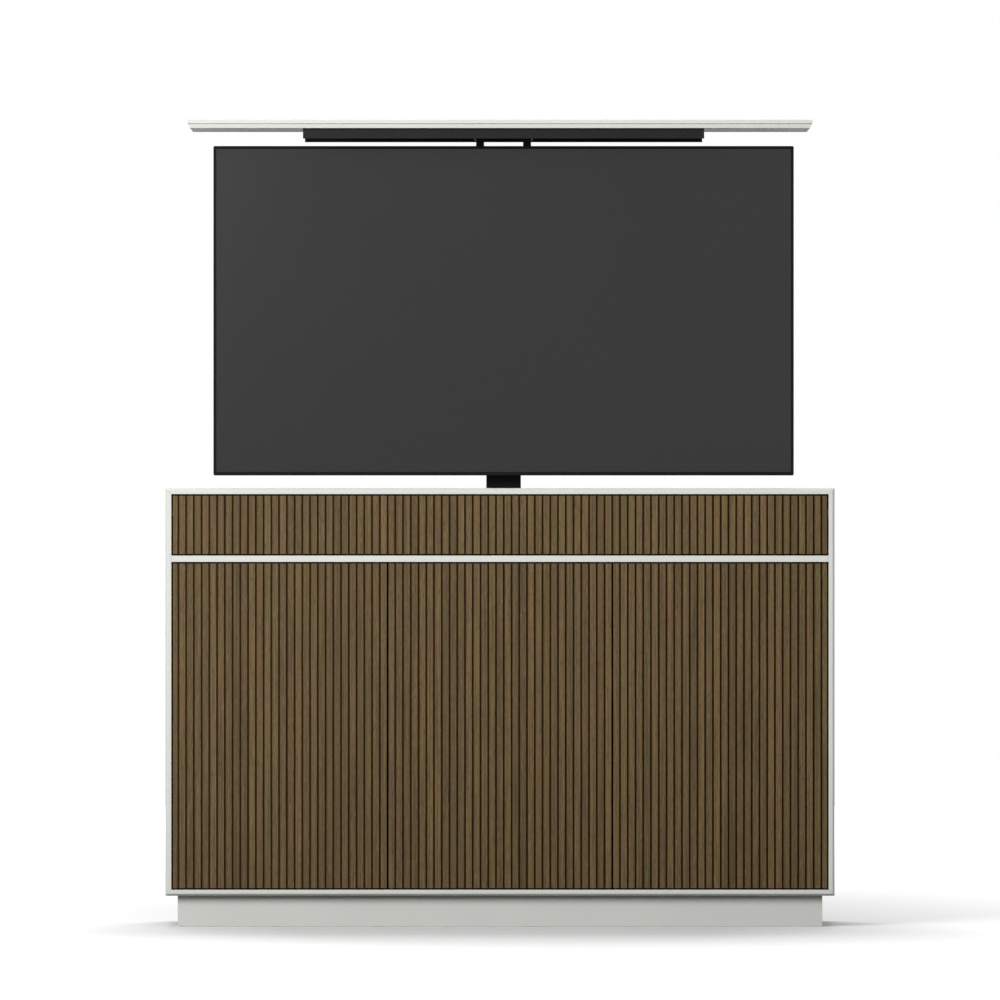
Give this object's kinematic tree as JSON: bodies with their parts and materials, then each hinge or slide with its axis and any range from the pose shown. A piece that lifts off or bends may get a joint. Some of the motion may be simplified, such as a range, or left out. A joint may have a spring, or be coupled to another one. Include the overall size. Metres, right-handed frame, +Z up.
{
  "type": "tv lift cabinet",
  "caption": "Free-standing slatted media cabinet whose motorised telescopic column raises a television and its lid through the top, over hinged doors and a drop-down flap.",
  "frame": {"origin": "on the floor, under the middle of the cabinet", "axes": "+X right, +Y from the front to the back, +Z up; the doors face -Y"},
  "size_m": [1.668, 0.508, 2.0135],
  "materials": {
    "satin_lacquer": "satin lacquered board, pale grey white",
    "inner_board": "melamine faced board",
    "door_board": "dark stained board behind the slats",
    "walnut_slat": "oiled walnut veneer",
    "hinge_steel": "black passivated zinc",
    "latch_plastic": "moulded",
    "black_plastic": "moulded",
    "tv_plastic": "fine textured",
    "screen_glass": "anti-glare screen",
    "black_steel": "black powder coat",
    "cast_aluminium": "die cast",
    "screw_steel": "rolled thread",
    "glide_plastic": "acetal, dark grey"
  },
  "bodies": {
    "cabinet": {"side_left": "satin_lacquer", "side_right": "satin_lacquer", "bottom_board": "satin_lacquer", "top_front_rail": "satin_lacquer", "top_back_rail": "satin_lacquer", "top_end_strips": "satin_lacquer", "mid_shelf": "satin_lacquer", "bay_divider": "inner_board", "upper_ceiling": "inner_board", "partitions": "inner_board", "back_rail": "inner_board", "back_panel": "inner_board", "cable_grommet": "black_plastic", "plinth_front": "satin_lacquer", "plinth_back": "satin_lacquer", "plinth_cross_members": "inner_board", "shelf_left": "inner_board", "shelf_middle": "inner_board", "shelf_right": "inner_board", "shelf_clips": "hinge_steel", "pivot_plates": "hinge_steel", "latch_bodies": "latch_plastic", "lift_outer_tube": "black_steel", "outer_glides": "glide_plastic", "lift_gearbox": "cast_aluminium", "lift_motor": "black_steel", "lift_base_plate": "black_steel", "lift_wall_brace": "black_steel", "control_box": "black_plastic"},
    "lift_middle": {"lift_middle_tube": "black_steel", "middle_glides": "glide_plastic", "middle_foot": "glide_plastic"},
    "lift_top": {"lift_inner_tube": "black_steel", "inner_glides": "glide_plastic", "mount_frame": "black_steel", "mount_arms": "black_steel", "lid_posts": "black_steel", "lid_carrier": "black_steel", "lid": "satin_lacquer", "tv_chassis": "tv_plastic", "tv_screen": "screen_glass", "tv_rear_cover": "tv_plastic"},
    "lift_screw": {"lift_screw": "screw_steel"},
    "door_left": {"door_left_leaf": "door_board", "door_left_slats": "walnut_slat", "door_left_fittings": "hinge_steel"},
    "door_left_latch": {"door_left_plunger": "latch_plastic"},
    "door_middle": {"door_middle_leaf": "door_board", "door_middle_slats": "walnut_slat", "door_middle_fittings": "hinge_steel"},
    "door_middle_latch": {"door_middle_plunger": "latch_plastic"},
    "door_right": {"door_right_leaf": "door_board", "door_right_slats": "walnut_slat", "door_right_fittings": "hinge_steel"},
    "door_right_latch": {"door_right_plunger": "latch_plastic"},
    "flap": {"flap_leaf": "door_board", "flap_slats": "walnut_slat", "flap_fittings": "hinge_steel"},
    "flap_latch": {"flap_plunger": "latch_plastic"}
  },
  "joints": [
    {"name": "door_left_hinge", "type": "hinge", "parent": "cabinet", "child": "door_left", "pos_m": [-0.8102, -0.247, 0.501], "axis": [0, 0, -1], "range_deg": [0, 100]},
    {"name": "door_middle_hinge", "type": "hinge", "parent": "cabinet", "child": "door_middle", "pos_m": [-0.27265, -0.247, 0.501], "axis": [0, 0, -1], "range_deg": [0, 90]},
    {"name": "door_right_hinge", "type": "hinge", "parent": "cabinet", "child": "door_right", "pos_m": [0.8102, -0.247, 0.501], "axis": [0, 0, 1], "range_deg": [0, 100]},
    {"name": "flap_hinge", "type": "hinge", "parent": "cabinet", "child": "flap", "pos_m": [0, -0.247, 0.9343], "axis": [1, 0, 0], "range_deg": [0, 90]},
    {"name": "lift_middle_slide", "type": "slide", "parent": "cabinet", "child": "lift_middle", "axis": [0, 0, 1], "range_m": [-0.46, 0]},
    {"name": "lift_top_slide", "type": "slide", "parent": "lift_middle", "child": "lift_top", "axis": [0, 0, 1], "range_m": [-0.46, 0]},
    {"name": "screw_spin", "type": "hinge", "parent": "cabinet", "child": "lift_screw", "pos_m": [0.009, 0.0995, 0.4], "axis": [0, 0, 1], "range_deg": [0, 8280]},
    {"name": "door_left_latch_press", "type": "slide", "parent": "cabinet", "child": "door_left_latch", "axis": [0, 1, 0], "range_m": [0, 0.003], "stiffness_N_per_m": 300, "springref_m": -0.002},
    {"name": "door_middle_latch_press", "type": "slide", "parent": "cabinet", "child": "door_middle_latch", "axis": [0, 1, 0], "range_m": [0, 0.003], "stiffness_N_per_m": 300, "springref_m": -0.002},
    {"name": "door_right_latch_press", "type": "slide", "parent": "cabinet", "child": "door_right_latch", "axis": [0, 1, 0], "range_m": [0, 0.003], "stiffness_N_per_m": 300, "springref_m": -0.002},
    {"name": "flap_latch_press", "type": "slide", "parent": "cabinet", "child": "flap_latch", "axis": [0, 1, 0], "range_m": [0, 0.003], "stiffness_N_per_m": 300, "springref_m": -0.002}
  ],
  "couplings": [
    {"joint": "lift_top_slide", "follows": "lift_middle_slide", "ratio": 1},
    {"joint": "screw_spin", "follows": "lift_middle_slide", "rad_per_m": -314.16}
  ]
}
